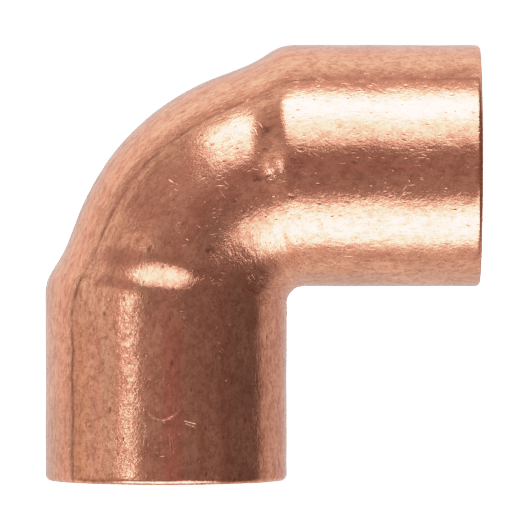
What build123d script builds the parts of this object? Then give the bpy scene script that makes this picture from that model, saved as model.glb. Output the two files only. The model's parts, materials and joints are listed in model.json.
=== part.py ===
from build123d import *
import os

# Wrought copper 90 degree elbow with two solder sockets, for 5/8 in (15.875 mm) copper tube.
# It is one seamless piece: a length of tube bent over a mandrel and then swelled at both ends.
#
# Frame: +Z up. The origin is the centre of the lower socket's mouth, and the elbow stands on
# that mouth. The lower socket's axis is Z, and the side socket opens towards +X.

# ---------------------------------------------------------------- driving dimensions, in mm
SOCKET_BORE = 15.95  # the 15.875 tube slides in and leaves a capillary gap for the solder
WALL = 0.775  # about even everywhere, because the piece is formed from one tube
CUP_DEPTH = 12.7  # from the mouth to the start of the turn
BEND_RADIUS = 10.0  # from the bend's centre to the axis of either socket
BEND_DIAMETER = 16.35  # outside of the bend, narrower than the sockets

SHOULDER_START = 1.1  # a socket keeps its full size this far past the start of the turn
SHOULDER_ROUND = 2.0  # radius over which its wall then turns inwards
SHOULDER_SLOPE = 34.0  # how steeply it comes down to the bend, in degrees
SHOULDER_REACH = 4.0  # length of that slope, whose end is buried in the bend

LIP_ROUND = 0.4  # outer edge of each mouth, rolled over by the cutting wheel
LIP_CHAMFER = 0.12  # inner edge of each mouth, a lead-in for the tube

# ---------------------------------------------------------------- worked out from those
SOCKET_RADIUS = SOCKET_BORE / 2 + WALL
CENTRE_TO_END = CUP_DEPTH + BEND_RADIUS
TURN = 90.0  # a right-angle elbow
BEND_CENTRE = Vector(BEND_RADIUS, 0, CUP_DEPTH)
# The bend is narrower than the sockets but flush with them in the throat, so its centre line
# runs nearer to the bend's centre than the socket axes do.
BEND_DISTANCE = BEND_RADIUS - SOCKET_RADIUS + BEND_DIAMETER / 2

# Each socket's mouth centre, the way into it, and the way from its axis to the outside.
SOCKETS = (
    (Vector(0, 0, 0), Vector(0, 0, 1), Vector(-1, 0, 0)),
    (Vector(CENTRE_TO_END, 0, CENTRE_TO_END), Vector(-1, 0, 0), Vector(0, 0, 1)),
)


def bent_bar(inset):
    """The bend and both sockets as one solid, smaller all round by the inset."""
    radius = SOCKET_RADIUS - inset
    with BuildPart() as bar:
        with BuildSketch(Plane.XY.offset(CUP_DEPTH)):
            with Locations((BEND_RADIUS - BEND_DISTANCE, 0)):
                Circle(BEND_DIAMETER / 2 - inset)
        revolve(axis=Axis(BEND_CENTRE, (0, 1, 0)), revolution_arc=TURN)
        for mouth, inward, outward in SOCKETS:
            half_plane = Plane(origin=mouth, x_dir=outward, z_dir=outward.cross(inward))
            with BuildSketch(half_plane):
                with BuildLine():
                    wall = Line((radius, 0), (radius, CUP_DEPTH + SHOULDER_START))
                    shoulder = JernArc(wall @ 1, wall % 1, SHOULDER_ROUND - inset, SHOULDER_SLOPE)
                    slope = PolarLine(shoulder @ 1, SHOULDER_REACH, direction=shoulder % 1)
                    end = slope @ 1
                    Polyline(end, (0, end.Y), (0, 0), (radius, 0))
                make_face()
            revolve(axis=Axis(mouth, inward))
    return bar.part


# ---------------------------------------------------------------- elbow body
with BuildPart() as elbow_body:
    add(bent_bar(0))
    add(bent_bar(WALL), mode=Mode.SUBTRACT)

    # The rims of each mouth: the outer edge is rolled round, the inner one is a small lead-in.
    lower_mouth = elbow_body.faces().filter_by(Plane.XY).sort_by(Axis.Z)[0]
    side_mouth = elbow_body.faces().filter_by(Plane.YZ).sort_by(Axis.X)[-1]
    rims = [mouth.edges().sort_by(SortBy.LENGTH) for mouth in (lower_mouth, side_mouth)]
    fillet([rim[-1] for rim in rims], LIP_ROUND)
    chamfer([rim[0] for rim in rims], LIP_CHAMFER)

elbow_body.part.label = "elbow_body"

os.makedirs("parts", exist_ok=True)
export_step(elbow_body.part, "parts/elbow_body.step")
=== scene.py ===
"""Looks of the copper solder elbow: its formed and worn surface, its copper, and a small studio."""

import json
from math import atan, cos, hypot, pi, radians, sin, tan

import bpy
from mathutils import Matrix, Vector, noise


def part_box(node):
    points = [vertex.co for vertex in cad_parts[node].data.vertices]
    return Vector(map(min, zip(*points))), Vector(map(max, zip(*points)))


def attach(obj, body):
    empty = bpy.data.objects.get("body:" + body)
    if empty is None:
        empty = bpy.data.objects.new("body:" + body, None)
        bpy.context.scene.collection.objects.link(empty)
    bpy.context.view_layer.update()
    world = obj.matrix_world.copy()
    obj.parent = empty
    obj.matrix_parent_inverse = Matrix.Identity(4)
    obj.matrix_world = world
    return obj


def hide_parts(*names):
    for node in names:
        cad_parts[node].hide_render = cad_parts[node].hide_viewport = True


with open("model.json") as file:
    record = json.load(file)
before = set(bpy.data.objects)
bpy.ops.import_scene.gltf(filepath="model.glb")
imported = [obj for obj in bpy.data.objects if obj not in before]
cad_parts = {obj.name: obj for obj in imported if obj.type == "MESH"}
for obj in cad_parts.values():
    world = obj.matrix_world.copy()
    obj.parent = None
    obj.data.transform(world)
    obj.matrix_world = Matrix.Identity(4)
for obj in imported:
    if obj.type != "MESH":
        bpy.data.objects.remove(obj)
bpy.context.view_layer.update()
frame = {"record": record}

# ---------------------------------------------------------------- sizes, in metres
MM = 0.001
MOUNTS = {mount["name"]: mount for mount in frame["record"]["mounts"]}
BODY_LOW, BODY_HIGH = (Vector(corner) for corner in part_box("elbow_body"))

# from the frame
BORE_RADIUS = MOUNTS["lower_socket"]["dims"]["r_mm"] * MM
CENTRE_TO_END = MOUNTS["side_socket"]["pos_m"][0]

# the CAD model's other driving dimensions
WALL = 0.775 * MM
CUP_DEPTH = 12.7 * MM
BEND_TUBE_RADIUS = 16.35 / 2 * MM
SHOULDER_START = 1.1 * MM
SHOULDER_ROUND = 2.0 * MM
SHOULDER_SLOPE = radians(34)
LIP_ROUND = 0.4 * MM
LIP_CHAMFER = 0.12 * MM

# worked out from those
BEND_RADIUS = CENTRE_TO_END - CUP_DEPTH
SOCKET_RADIUS = BORE_RADIUS + WALL
BEND_CENTRE = Vector((BEND_RADIUS, 0, CUP_DEPTH))
BEND_DISTANCE = BEND_RADIUS - SOCKET_RADIUS + BEND_TUBE_RADIUS
TURN = pi / 2
PATH_LENGTH = 2 * CUP_DEPTH + BEND_RADIUS * TURN
ACROSS = Vector((0, -1, 0))  # from the elbow's plane towards its front

# the forming rolls the shoulder over gradually, and smooths the crease where it meets the bend
SHOULDER_EASE = 2.4 * MM
CREASE_BLEND = 0.6 * MM
# where the straight wall and the shoulder's slope would meet in a corner, past the turn's start
SHOULDER_CORNER = SHOULDER_START + SHOULDER_ROUND * tan(SHOULDER_SLOPE / 2)

# mesh spacing
AROUND_COUNT = 240
OUTER_STEP = 0.24 * MM
INNER_STEP = 0.55 * MM
LIP_STEPS = 8
RAY_STEPS = 9


# ---------------------------------------------------------------- the elbow's form
def smooth_step(value, low, high):
    """0 below low, 1 above high, and a smooth rise between them."""
    u = min(max((value - low) / (high - low), 0), 1)
    return u * u * (3 - 2 * u)


def socket_distance(past, radius):
    """Distance outside a swelled socket, for a point past the turn's start at a radius.

    Its wall's slope eases in, from level to the shoulder's slope, centred on the corner.
    """
    run = past - SHOULDER_CORNER + SHOULDER_EASE / 2
    steepest = tan(SHOULDER_SLOPE)
    u = min(max(run / SHOULDER_EASE, 0), 1)
    drop = steepest * (SHOULDER_EASE * (u**3 - u**4 / 2) + max(run - SHOULDER_EASE, 0))
    slope = atan(steepest * smooth_step(u, 0, 1))
    return (radius - SOCKET_RADIUS + drop) * cos(slope)


def wall_distance(point):
    """Distance outside the elbow's outer wall, negative inside it."""
    past_lower = point.z - CUP_DEPTH
    past_side = BEND_RADIUS - point.x
    if past_lower < past_side:
        past, outward = past_lower, -point.x
    else:
        past, outward = past_side, point.z - CENTRE_TO_END
    radius = hypot(outward, point.y)
    socket = socket_distance(past, radius)
    if past <= 0:
        return socket
    from_centre = hypot(point.x - BEND_CENTRE.x, point.z - BEND_CENTRE.z)
    bend = hypot(from_centre - BEND_DISTANCE, point.y) - BEND_TUBE_RADIUS
    closeness = max(1 - abs(bend - socket) / CREASE_BLEND, 0)
    creased = smooth_step(past, 0, SHOULDER_START) * smooth_step(outward / radius, -0.7, 0.1)
    return min(bend, socket) - closeness**2 * CREASE_BLEND / 4 * creased


def surface_point(station, angle, depth):
    """The point at a depth under the outer wall, on a ray from the axis.

    The station is the distance along the axis from the lower mouth. The angle is 0 at the
    front and a quarter turn at the outside.
    """
    turned = min(max((station - CUP_DEPTH) / BEND_RADIUS, 0), TURN)
    straight = station - CUP_DEPTH - turned * BEND_RADIUS
    outward = Vector((-cos(turned), 0, sin(turned)))
    along = Vector((sin(turned), 0, cos(turned)))
    centre = BEND_CENTRE + outward * BEND_RADIUS + along * straight
    ray = outward * sin(angle) + ACROSS * cos(angle)
    reach = SOCKET_RADIUS
    for _ in range(RAY_STEPS):
        reach -= wall_distance(centre + ray * reach) + depth
    return centre + ray * reach


def even_stations(first, last, step):
    """Evenly spaced stations from first to last, both included."""
    count = max(1, round(abs(last - first) / step))
    return [first + (last - first) * number / count for number in range(count + 1)]


def lip_rings(mouth, inward):
    """The rings (station, depth) over a mouth's lip, from the outer wall to the inner one."""
    rings = []
    for number in range(1, LIP_STEPS + 1):
        swing = TURN * number / LIP_STEPS
        setback = LIP_ROUND * (1 - sin(swing))
        rings.append((mouth + inward * setback, LIP_ROUND * (1 - cos(swing))))
    rings.append((mouth, WALL - LIP_CHAMFER))
    rings.append((mouth + inward * LIP_CHAMFER, WALL))
    return rings


def wall_rings():
    """All rings (station, depth), once round the wall: out, over a lip, in, over the other lip."""
    outer = even_stations(LIP_ROUND, PATH_LENGTH - LIP_ROUND, OUTER_STEP)
    inner = even_stations(PATH_LENGTH - LIP_CHAMFER, LIP_CHAMFER, INNER_STEP)
    rings = [(station, 0) for station in outer]
    rings += lip_rings(PATH_LENGTH, -1)
    rings += [(station, WALL) for station in inner[1:-1]]
    rings += reversed(lip_rings(0, 1))
    return rings


def relief(tube_point):
    """How far forming and handling push the wall out at a point of the straight tube, in mm."""
    broad = noise.noise(tube_point * 0.20) * 0.032
    middle = noise.noise(tube_point * 0.50 + Vector((7, 3, 1))) * 0.016
    small = noise.noise(tube_point * 1.2 + Vector((2, 9, 4))) * 0.0045
    return broad + middle + small


def build_elbow():
    """The elbow's wall as one closed mesh of quads.

    Its attributes say where each point lay on the straight tube, in mm: "tube" in space, and
    "sheet" on the wall rolled out flat, around the tube by along it.
    """
    rings = wall_rings()
    angles = [2 * pi * number / AROUND_COUNT - pi for number in range(AROUND_COUNT + 1)]
    points = []
    tube_points = []
    for station, depth in rings:
        radius = SOCKET_RADIUS - depth
        for angle in angles[:-1]:
            tube_point = Vector((radius * sin(angle), -radius * cos(angle), station)) / MM
            tube_points.append(tube_point)
            points.append(surface_point(station, angle, depth - relief(tube_point) * MM))
    faces = []
    sheet_points = []
    for ring, (station, _) in enumerate(rings):
        next_ring = (ring + 1) % len(rings)
        next_station = rings[next_ring][0]
        for column in range(AROUND_COUNT):
            beside = (column + 1) % AROUND_COUNT
            here = ring * AROUND_COUNT
            there = next_ring * AROUND_COUNT
            faces.append((here + column, there + column, there + beside, here + beside))
            left = angles[column] * SOCKET_RADIUS / MM
            right = angles[column + 1] * SOCKET_RADIUS / MM
            for across, along in (
                (left, station),
                (left, next_station),
                (right, next_station),
                (right, station),
            ):
                sheet_points.append((across, along / MM, 0))

    mesh = bpy.data.meshes.new("copper_elbow")
    mesh.from_pydata(points, [], faces)
    mesh.shade_smooth()
    for name, domain, values in (
        ("tube", "POINT", tube_points),
        ("sheet", "CORNER", sheet_points),
    ):
        attribute = mesh.attributes.new(name, "FLOAT_VECTOR", domain)
        for item, value in zip(attribute.data, values):
            item.vector = value
    elbow = bpy.data.objects.new("copper_elbow", mesh)
    bpy.context.scene.collection.objects.link(elbow)
    return elbow


# ---------------------------------------------------------------- node helpers
class Tree:
    """Adds nodes to a node tree and links them, so that a material reads as a formula."""

    def __init__(self, owner):
        owner.use_nodes = True
        self.tree = owner.node_tree
        self.tree.nodes.clear()

    def add(self, kind, inputs=None, **settings):
        node = self.tree.nodes.new(kind)
        for name, value in settings.items():
            setattr(node, name, value)
        for name, value in (inputs or {}).items():
            self.put(node.inputs[name], value)
        return node

    def put(self, socket, value):
        if isinstance(value, bpy.types.NodeSocket):
            self.tree.links.new(value, socket)
        else:
            socket.default_value = value

    def math(self, operation, *values):
        node = self.tree.nodes.new("ShaderNodeMath")
        node.operation = operation
        for socket, value in zip(node.inputs, values):
            self.put(socket, value)
        return node.outputs[0]

    def vector(self, operation, first, second, output="Vector"):
        node = self.add("ShaderNodeVectorMath", operation=operation)
        self.put(node.inputs[0], first)
        self.put(node.inputs[1], second)
        return node.outputs[output]

    def total(self, *values):
        result = values[0]
        for value in values[1:]:
            result = self.math("ADD", result, value)
        return result

    def product(self, *values):
        result = values[0]
        for value in values[1:]:
            result = self.math("MULTIPLY", result, value)
        return result

    def ramp(self, value, low, high, start=0.0, end=1.0):
        """A smooth change from start, where value is low, to end, where it is high."""
        node = self.add("ShaderNodeMapRange", interpolation_type="SMOOTHSTEP")
        self.put(node.inputs["Value"], value)
        self.put(node.inputs["From Min"], low)
        self.put(node.inputs["From Max"], high)
        self.put(node.inputs["To Min"], start)
        self.put(node.inputs["To Max"], end)
        return node.outputs["Result"]

    def window(self, value, low, high, soft):
        """1 between low and high and 0 outside, with soft edges."""
        rise = self.ramp(value, low - soft, low + soft)
        fall = self.ramp(value, high - soft, high + soft, 1.0, 0.0)
        return self.math("MULTIPLY", rise, fall)

    def mix(self, factor, first, second):
        node = self.add("ShaderNodeMix", data_type="RGBA")
        self.put(node.inputs["Factor"], factor)
        self.put(node.inputs[6], first)
        self.put(node.inputs[7], second)
        return node.outputs[2]

    def noise(self, place, scale, detail=2.0, roughness=0.5):
        inputs = {"Vector": place, "Scale": scale, "Detail": detail, "Roughness": roughness}
        return self.add("ShaderNodeTexNoise", inputs).outputs["Fac"]

    def scaled(self, place, factors):
        return self.vector("MULTIPLY", place, factors)


# ---------------------------------------------------------------- copper
COPPER = (1.0, 0.47, 0.295, 1)
FRESH_COPPER = (0.98, 0.52, 0.38, 1)
BROWN_TARNISH = (0.62, 0.25, 0.16, 1)
SPECKLE = (0.48, 0.18, 0.11, 1)
DULL_TARNISH = (0.58, 0.31, 0.19, 1)
RED_STREAK = (0.92, 0.32, 0.21, 1)
ORANGE_STREAK = (0.97, 0.41, 0.225, 1)
# dark fill for pits and stains, and also the colour of the painted reflection line
PIT_FILL_AND_PAINTED_DARK = (0.26, 0.11, 0.07, 1)
INNER_COPPER = (0.96, 0.60, 0.46, 1)  # the inner wall, painted paler to offset the deep red of light bouncing inside the bore

# Wear all over, as flecks: direction in degrees, length and width in mm, share kept, and seed.
FINE_SCRATCHES = (
    (90, 1.9, 0.08, 0.38, 3.0),
    (8, 1.4, 0.08, 0.32, 11.0),
    (55, 1.2, 0.07, 0.32, 23.0),
    (-40, 1.2, 0.07, 0.32, 37.0),
)
SMALL_PITS = (90, 0.50, 0.22, 0.60, 5.0)
LARGE_PITS = (75, 0.90, 0.45, 0.25, 41.0)

# Marks of this elbow, placed on its rolled-out wall: mm around from the front, towards the
# outside of the turn, and mm along from the lower mouth.
MARK_WIDTH = 0.09  # half the width of a scratch
PRESSED_ARC = ((0.15, 6.05), 1.35, 0.8)  # its circle's centre and radius, and its height
SCRATCHES = (  # the ends of each
    ((-1.45, 4.55), (-2.20, 4.35)),
    ((-1.55, 4.35), (-2.20, 4.10)),
    ((-0.30, 3.60), (-0.38, 2.60)),
    ((-0.48, 3.40), (-0.62, 2.40)),
)
PAINTED_REFLECTION_LINE_WIDTH = 0.28  # half the width of the painted dark line, a painted reflection of the room's dark gap
PAINTED_REFLECTION_LINE = (  # its corners; a painted reflection of a dark gap in the room, it jogs where the bend starts and ends
    (7.75, 0),
    (7.75, 12.9),
    (7.1, 14.2),
    (6.8, 17.7),
    (6.7, 20.5),
    (6.4, 24.0),
    (7.2, 29.0),
    (7.2, 41.1),
)
STAINS = (  # the centre, the radius and the strength of each
    ((-2.0, 18.3), 0.7, 0.9),
    ((3.4, 26.4), 0.8, 0.8),
    ((-0.1, 25.0), 0.5, 0.6),
    ((0.1, 26.4), 1.3, 0.7),
    ((0.4, 28.1), 1.2, 0.35),
    ((0.1, 34.9), 1.0, 0.25),
)
# streaks along the lower socket, given by their two edges around it
RED_BAND = (-1.0, 0.3)
ORANGE_BAND = (6.1, 7.6)


def flecks(nodes, sheet, direction, length, width, share, seed):
    """Scattered flecks of about length by width, in mm, on the rolled-out wall.

    The direction is in degrees from around the tube. Each cell of a stretched Voronoi pattern
    holds one fleck, and a share of them is kept. Returns how deep the wall is marked, 0 to 1.
    """
    part_of_cell = 0.4
    cell = (part_of_cell / length, part_of_cell / width, 1.0)
    turned = nodes.add(
        "ShaderNodeMapping", {"Vector": sheet, "Rotation": (0, 0, radians(direction))}
    )
    stretched = nodes.scaled(turned.outputs["Vector"], cell)
    moved = nodes.add("ShaderNodeMapping", {"Vector": stretched, "Location": (seed, seed, 0)})
    cells = nodes.add(
        "ShaderNodeTexVoronoi",
        {"Vector": moved.outputs["Vector"], "Scale": 1.0},
        voronoi_dimensions="2D",
    )
    chance = nodes.add("ShaderNodeSeparateColor", {"Color": cells.outputs["Color"]}).outputs
    size = nodes.math("MULTIPLY_ADD", chance["Blue"], 0.8 * part_of_cell / 2, 0.2 * part_of_cell / 2)
    shape = nodes.ramp(cells.outputs["Distance"], 0.0, size, 1.0, 0.0)
    kept = nodes.math("LESS_THAN", chance["Red"], share)
    depth = nodes.math("MULTIPLY_ADD", chance["Green"], 0.8, 0.2)
    return nodes.product(shape, kept, depth)


def line(nodes, sheet, start, end, half_width):
    """A straight line between two places on the rolled-out wall, soft across its width."""
    start = Vector((*start, 0))
    way = Vector((*end, 0)) - start
    from_start = nodes.vector("SUBTRACT", sheet, start)
    reached = nodes.vector("DOT_PRODUCT", from_start, way / way.length_squared, output="Value")
    reached = nodes.math("MINIMUM", nodes.math("MAXIMUM", reached, 0.0), 1.0)
    off = nodes.vector("DISTANCE", from_start, nodes.scaled(reached, way), output="Value")
    return nodes.ramp(off, 0.0, half_width, 1.0, 0.0)


def painted_reflection_line(nodes, sheet):
    """A painted reflection: a dark line along the outside, where the copper mirrors a dark gap in the
    room, fainter after the bend.
    """
    shown = 0.0
    for start, end in zip(PAINTED_REFLECTION_LINE, PAINTED_REFLECTION_LINE[1:]):
        shown = nodes.math("MAXIMUM", shown, line(nodes, sheet, start, end, PAINTED_REFLECTION_LINE_WIDTH))
    place = nodes.add("ShaderNodeSeparateXYZ", {"Vector": sheet}).outputs["Y"]
    return nodes.product(
        shown,
        nodes.ramp(place, PAINTED_REFLECTION_LINE[-3][1], PAINTED_REFLECTION_LINE[-2][1], 0.8, 0.4),
        nodes.ramp(nodes.noise(sheet, 0.45), 0.35, 0.65, 0.3, 1.0),
    )


def arc(nodes, sheet, centre, radius, height):
    """The lowest part, up to a height, of a circle pressed into the rolled-out wall."""
    across, along = centre
    off = nodes.vector("DISTANCE", sheet, Vector((across, along, 0)), output="Value")
    off = nodes.math("ABSOLUTE", nodes.math("SUBTRACT", off, radius))
    place = nodes.add("ShaderNodeSeparateXYZ", {"Vector": sheet}).outputs["Y"]
    top = along - radius + height
    return nodes.product(
        nodes.ramp(off, 0.0, MARK_WIDTH, 1.0, 0.0),
        nodes.ramp(place, top - 0.2, top, 1.0, 0.0),
    )


def stain(nodes, sheet, centre, radius, strength):
    """A dark stain that fades out at a radius on the rolled-out wall."""
    off = nodes.vector("DISTANCE", sheet, Vector((*centre, 0)), output="Value")
    return nodes.ramp(off, 0.0, radius, strength, 0.0)


def wandering(nodes, sheet):
    """The places on the rolled-out wall, shifted a little so that the marks on them wander."""
    wander = nodes.add("ShaderNodeTexNoise", {"Vector": sheet, "Scale": 0.6}).outputs["Color"]
    shifted = nodes.add("ShaderNodeVectorMath", operation="MULTIPLY_ADD")
    for socket, value in zip(shifted.inputs, (wander, (0.5, 0.5, 0.0), sheet)):
        nodes.put(socket, value)
    return shifted.outputs[0]


def fine_scratches(nodes, sheet, bent_sheet):
    """Fine scratches in four directions, denser where the elbow was handled more."""
    scratched = nodes.total(*(flecks(nodes, bent_sheet, *settings) for settings in FINE_SCRATCHES))
    handled = nodes.ramp(nodes.noise(sheet, 0.35, detail=2.0), 0.40, 0.60, 0.35, 1.0)
    return nodes.product(scratched, handled)


def larger_marks(nodes, sheet):
    """The pressed arc and the few larger scratches."""
    return nodes.total(
        arc(nodes, sheet, *PRESSED_ARC),
        *(line(nodes, sheet, start, end, MARK_WIDTH) for start, end in SCRATCHES),
    )


def pits(nodes, bent_sheet):
    """Small pits, drawn out along the tube, and fewer large ones."""
    small = flecks(nodes, bent_sheet, *SMALL_PITS)
    large = flecks(nodes, bent_sheet, *LARGE_PITS)
    return nodes.math("MAXIMUM", small, large)


def tarnished(nodes, tube, bent_sheet, speckle):
    """Copper's colour under brown mottling, duller patches, streaks along the tube and speckle."""
    mottle = nodes.ramp(nodes.noise(tube, 0.42, detail=7.0, roughness=0.66), 0.42, 0.72)
    dull = nodes.ramp(nodes.noise(nodes.scaled(tube, (1.0, 1.0, 0.6)), 0.17, detail=3.0), 0.50, 0.72)
    streak = nodes.noise(nodes.scaled(tube, (1.0, 1.0, 0.035)), 0.75, detail=3.0)
    colour = nodes.mix(nodes.math("MULTIPLY", mottle, 0.60), COPPER, BROWN_TARNISH)
    colour = nodes.mix(nodes.math("MULTIPLY", dull, 0.60), colour, DULL_TARNISH)
    colour = nodes.mix(nodes.ramp(streak, 0.48, 0.66, 0.0, 0.45), colour, RED_STREAK)
    across, station, _ = nodes.add("ShaderNodeSeparateXYZ", {"Vector": bent_sheet}).outputs
    on_socket = nodes.ramp(station, CUP_DEPTH / MM - 2.0, CUP_DEPTH / MM, 1.0, 0.0)
    red = nodes.product(nodes.window(across, *RED_BAND, 0.25), on_socket, 0.8)
    orange = nodes.product(nodes.window(across, *ORANGE_BAND, 0.3), on_socket, 0.8)
    colour = nodes.mix(red, colour, RED_STREAK)
    colour = nodes.mix(orange, colour, ORANGE_STREAK)
    return nodes.mix(nodes.ramp(speckle, 0.39, 0.65, 0.0, 0.72), colour, SPECKLE)


def inner_share(nodes, tube):
    """How much of the inner wall's paler paint shows, which offsets the red of light bouncing in the
    bore: most of it on that wall, and none outside.
    """
    off_axis = nodes.vector("LENGTH", nodes.scaled(tube, (1.0, 1.0, 0.0)), (0, 0, 0), output="Value")
    return nodes.ramp(off_axis, BORE_RADIUS / MM + 0.05, BORE_RADIUS / MM + 0.3, 0.8, 0.0)


def make_copper():
    """Bare drawn copper with handling marks, pits and a little tarnish, plus a painted reflection line
    and an inner wall painted paler.
    """
    material = bpy.data.materials.new("copper")
    nodes = Tree(material)
    tube = nodes.add("ShaderNodeAttribute", attribute_name="tube").outputs["Vector"]
    sheet = nodes.add("ShaderNodeAttribute", attribute_name="sheet").outputs["Vector"]
    bent_sheet = wandering(nodes, sheet)

    scratched = fine_scratches(nodes, sheet, bent_sheet)
    marked = larger_marks(nodes, sheet)
    pitted = pits(nodes, bent_sheet)
    stained = nodes.total(*(stain(nodes, bent_sheet, *settings) for settings in STAINS))
    speckle = nodes.noise(nodes.scaled(tube, (1.0, 1.0, 0.7)), 2.1, detail=3.0, roughness=1.0)

    # tarnish first, then stains and the painted reflection line, and over them bare metal and filled
    # pits
    colour = tarnished(nodes, tube, bent_sheet, speckle)
    colour = nodes.mix(nodes.product(stained, nodes.ramp(speckle, 0.38, 0.58)), colour, PIT_FILL_AND_PAINTED_DARK)
    # a painted reflection: the dark line where the copper mirrors the room's dark gap
    colour = nodes.mix(painted_reflection_line(nodes, bent_sheet), colour, PIT_FILL_AND_PAINTED_DARK)
    fresh = nodes.math("MAXIMUM", scratched, nodes.math("MULTIPLY", marked, 0.5))
    colour = nodes.mix(nodes.math("MULTIPLY", fresh, 0.8), colour, FRESH_COPPER)
    colour = nodes.mix(nodes.math("MULTIPLY", pitted, 0.85), colour, PIT_FILL_AND_PAINTED_DARK)
    # painted paler inside, to offset the red that bouncing light gives the bore
    colour = nodes.mix(inner_share(nodes, tube), colour, INNER_COPPER)

    # the fine relief, as a height in mm: orange peel and grain, with the marks cut into them
    peel = nodes.noise(nodes.scaled(tube, (1.0, 1.0, 0.6)), 1.7, detail=2.0)
    grain = nodes.noise(nodes.scaled(tube, (1.0, 1.0, 0.7)), 3.6, detail=3.0, roughness=0.8)
    height = nodes.total(
        nodes.product(peel, 0.014),
        nodes.product(grain, 0.020),
        nodes.product(scratched, -0.008),
        nodes.product(pitted, -0.016),
        nodes.product(marked, -0.014),
    )
    bump = nodes.add("ShaderNodeBump", {"Strength": 1.0, "Distance": MM, "Height": height})
    roughness = nodes.ramp(speckle, 0.40, 0.62, 0.08, 0.22)

    shader = nodes.add("ShaderNodeBsdfPrincipled", {"Metallic": 1.0})
    nodes.put(shader.inputs["Base Color"], colour)
    nodes.put(shader.inputs["Roughness"], roughness)
    nodes.put(shader.inputs["Normal"], bump.outputs["Normal"])
    nodes.add("ShaderNodeOutputMaterial", {"Surface": shader.outputs["BSDF"]})
    return material


# ---------------------------------------------------------------- studio
WHITE = 4.0  # the level that the film shows as pure white
FLOOR_LEVEL = 3.0 * WHITE  # far above white, so that little of the elbow's shadow shows
FLOOR_ALBEDO = 0.9
FLOOR_SIZE = 3.0  # from its middle to its edges, in metres
FRONT_LEVEL = 0.36
BEHIND_LEVEL = 0.86
STRIP_LEVEL = 5.0
GAP_LEVEL = -0.30  # it takes light away
# the dim parts of the room are warm, its light parts are neutral and its lamps are cool
DIM_TINT = (1.0, 0.86, 0.86, 1)
LIGHT_TINT = (1.0, 1.0, 1.0, 1)
LAMP_TINT = (1.0, 1.0, 1.1, 1)
# the film's response: even in the shadows, with a long shoulder that keeps highlights soft
FILM_SHOULDER = ((0.4, 0.4), (0.7, 0.67), (0.85, 0.77), (1.1, 0.85), (1.4, 0.9), (2.5, 0.955))


def set_film():
    """Shows the scene as a camera would, instead of cutting each colour off at 1."""
    view = bpy.context.scene.view_settings
    view.view_transform = "Standard"
    view.use_curve_mapping = True
    mapping = view.curve_mapping
    mapping.clip_max_x = WHITE
    curve = mapping.curves[3]
    curve.points[-1].location = (WHITE, 1.0)
    for level, shown in FILM_SHOULDER:
        curve.points.new(level, shown)
    for point in curve.points:
        point.handle_type = "AUTO_CLAMPED"
    mapping.update()


def panel(nodes, elevation, sideways, side_edge, taper, near_edge, far_edge, slant, levels, core):
    """Light from a soft panel, given its near and far edges in degrees above or below the view.

    Sideways is measured in heights above or below the view. The panel narrows with elevation by
    the taper. Its near edge slants across, and its far edge falls away to both sides. Its level
    rises from the near edge to the middle, and its lamp makes a bright core, given as its
    elevation, its half height, its half width and its level.
    """
    core_place, core_height, core_width, core_level = core
    past_near = nodes.math("MULTIPLY_ADD", sideways, slant, elevation)
    out = nodes.math("MULTIPLY_ADD", elevation, taper, nodes.math("ABSOLUTE", sideways))
    past_far = nodes.math("MULTIPLY_ADD", nodes.math("ABSOLUTE", sideways), slant, elevation)
    inside = nodes.product(
        nodes.ramp(past_near, near_edge - 2.0, near_edge + 2.0),
        nodes.ramp(past_far, far_edge - 2.0, far_edge + 2.0, 1.0, 0.0),
        nodes.ramp(out, side_edge - 0.05, side_edge + 0.05, 1.0, 0.0),
    )
    from_core = nodes.math("DIVIDE", nodes.math("SUBTRACT", elevation, core_place), core_height)
    beside_core = nodes.math("DIVIDE", sideways, core_width)
    spread = nodes.math(
        "SQRT", nodes.total(nodes.math("POWER", from_core, 2.0), nodes.math("POWER", beside_core, 2.0))
    )
    level = nodes.total(
        nodes.ramp(elevation, near_edge, (near_edge + far_edge) / 2, *levels),
        nodes.ramp(spread, 0.0, 1.0, core_level, 0.0),
    )
    return nodes.product(inside, level)


def room_in_front(nodes, left, right, back, up, steepness):
    """The room in front: dim, and darker to the right.

    To the left are a low card, a narrow lamp at the height of the view, and a light band with a
    dark gap behind it.
    """
    climb = nodes.math("DIVIDE", up, nodes.math("MAXIMUM", left, 0.1))
    card = nodes.product(
        nodes.ramp(left, 0.34, 0.56, 0.0, 0.30),
        nodes.window(climb, -0.12, 0.42, 0.12),
    )
    strip = nodes.product(
        nodes.window(left, 0.55, 0.60, 0.01),
        nodes.window(up, -0.08, 0.08, 0.04),
        STRIP_LEVEL,
    )
    band = nodes.product(
        nodes.ramp(left, 0.4, 0.8),
        nodes.window(back, -0.08, 0.09, 0.02),
        nodes.ramp(up, 0.15, 0.45, 0.0, 0.5),
    )
    gap = nodes.product(
        nodes.ramp(left, -0.1, 0.6, 0.3, 1.0),
        nodes.window(back, 0.09, 0.19, 0.015),
        GAP_LEVEL,
    )
    return nodes.total(
        FRONT_LEVEL,
        nodes.ramp(left, 0.10, 0.50, 0.0, 0.11),
        nodes.ramp(right, 0.10, 0.35, 0.0, -0.11),
        nodes.ramp(right, 0.60, 0.90, 0.0, -0.07),
        nodes.ramp(steepness, 0.60, 0.95, 0.0, 0.36),
        card,
        strip,
        band,
        gap,
    )


def room_behind(nodes, right, back, up):
    """The pale sweep behind: lighter towards the top, and darker to the right and straight back."""
    return nodes.total(
        BEHIND_LEVEL,
        nodes.ramp(up, 0.0, 0.95, 0.0, 0.28),
        nodes.ramp(right, -0.4, 0.0, 0.06, 0.0),
        nodes.ramp(right, 0.2, 0.9, 0.0, -0.28),
        nodes.ramp(back, 0.60, 0.95, 0.0, -0.10),
    )


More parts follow.
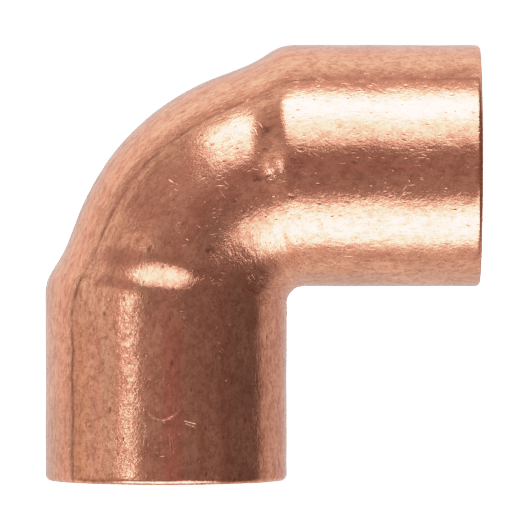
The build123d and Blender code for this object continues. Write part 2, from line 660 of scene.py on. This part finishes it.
def make_world():
    """The studio that the copper mirrors; to the camera it is plain white."""
    world = bpy.data.worlds.new("studio")
    nodes = Tree(world)
    direction = nodes.add("ShaderNodeTexCoord").outputs["Generated"]
    right, back, up = nodes.add("ShaderNodeSeparateXYZ", {"Vector": direction}).outputs
    left = nodes.math("MULTIPLY", right, -1.0)
    steepness = nodes.math("MAXIMUM", nodes.math("ABSOLUTE", up), 0.001)
    sideways = nodes.math("DIVIDE", right, steepness)
    elevation = nodes.math("ARCTAN2", up, nodes.math("MULTIPLY", back, -1.0))
    elevation = nodes.math("MULTIPLY", elevation, 180 / pi)
    depression = nodes.math("MULTIPLY", elevation, -1.0)

    front = room_in_front(nodes, left, right, back, up, steepness)
    behind = room_behind(nodes, right, back, up)
    is_behind = nodes.ramp(back, 0.14, 0.30)
    room = nodes.math("MULTIPLY_ADD", is_behind, nodes.math("SUBTRACT", behind, front), front)
    top = panel(
        nodes,
        elevation,
        sideways,
        side_edge=0.62,
        taper=0.0,
        near_edge=23.0,
        far_edge=75.0,
        slant=9.0,
        levels=(1.5, 2.2),
        core=(58.0, 12.0, 0.7, 5.2),
    )
    low = panel(
        nodes,
        depression,
        sideways,
        side_edge=1.15,
        taper=0.0055,
        near_edge=35.0,
        far_edge=80.0,
        slant=15.0,
        levels=(1.7, 2.4),
        core=(57.0, 18.0, 0.9, 1.3),
    )
    level = nodes.total(room, top, low)

    to_camera = nodes.add("ShaderNodeLightPath").outputs["Is Camera Ray"]
    strength = nodes.math("MULTIPLY_ADD", to_camera, nodes.math("SUBTRACT", WHITE, level), level)
    tint = nodes.mix(nodes.ramp(level, 0.3, 0.9), DIM_TINT, LIGHT_TINT)
    tint = nodes.mix(nodes.ramp(level, 1.0, 2.5), tint, LAMP_TINT)
    tint = nodes.mix(to_camera, tint, (1, 1, 1, 1))
    sky = nodes.add("ShaderNodeBackground", {"Color": tint, "Strength": strength})
    nodes.add("ShaderNodeOutputWorld", {"Surface": sky.outputs["Background"]})
    bpy.context.scene.world = world


def make_floor():
    """A plain white floor that the copper doesn't mirror, so that the low panel shows in it.

    A broad overhead light, which the copper doesn't mirror either, brings the floor past white.
    """
    mesh = bpy.data.meshes.new("floor")
    corners = [(x, y, 0) for x, y in ((-1, -1), (1, -1), (1, 1), (-1, 1))]
    mesh.from_pydata([Vector(corner) * FLOOR_SIZE for corner in corners], [], [(0, 1, 2, 3)])
    floor = bpy.data.objects.new("floor", mesh)
    bpy.context.scene.collection.objects.link(floor)
    floor.visible_glossy = False
    floor.visible_shadow = False
    material = bpy.data.materials.new("floor_white")
    nodes = Tree(material)
    white = (FLOOR_ALBEDO, FLOOR_ALBEDO, FLOOR_ALBEDO, 1)
    shader = nodes.add("ShaderNodeBsdfPrincipled", {"Base Color": white, "Roughness": 0.9})
    nodes.add("ShaderNodeOutputMaterial", {"Surface": shader.outputs["BSDF"]})
    mesh.materials.append(material)

    data = bpy.data.lights.new("floor_light", "SUN")
    data.angle = radians(120)
    data.energy = FLOOR_LEVEL * pi / FLOOR_ALBEDO
    light = bpy.data.objects.new("floor_light", data)
    light.visible_glossy = False
    bpy.context.scene.collection.objects.link(light)


def make_camera():
    """A long lens, square on to the elbow's plane and a hair above level."""
    distance = 0.55
    frame_height = 38.3 * MM
    elevation = radians(1.2)
    centre = (BODY_LOW + BODY_HIGH) / 2
    aim = Vector((centre.x + 0.1 * MM, 0, centre.z - 0.2 * MM))
    data = bpy.data.cameras.new("camera")
    data.sensor_fit = "VERTICAL"
    data.sensor_height = 24.0
    data.lens = data.sensor_height * distance / frame_height
    data.clip_start = 0.01
    camera = bpy.data.objects.new("camera", data)
    camera.location = aim + Vector((0, -cos(elevation), sin(elevation))) * distance
    camera.rotation_euler = (radians(90) - elevation, 0, 0)
    bpy.context.scene.collection.objects.link(camera)
    bpy.context.scene.camera = camera


elbow = build_elbow()
elbow.data.materials.append(make_copper())
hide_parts("elbow_body")
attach(elbow, "root")

make_world()
make_floor()
make_camera()
set_film()
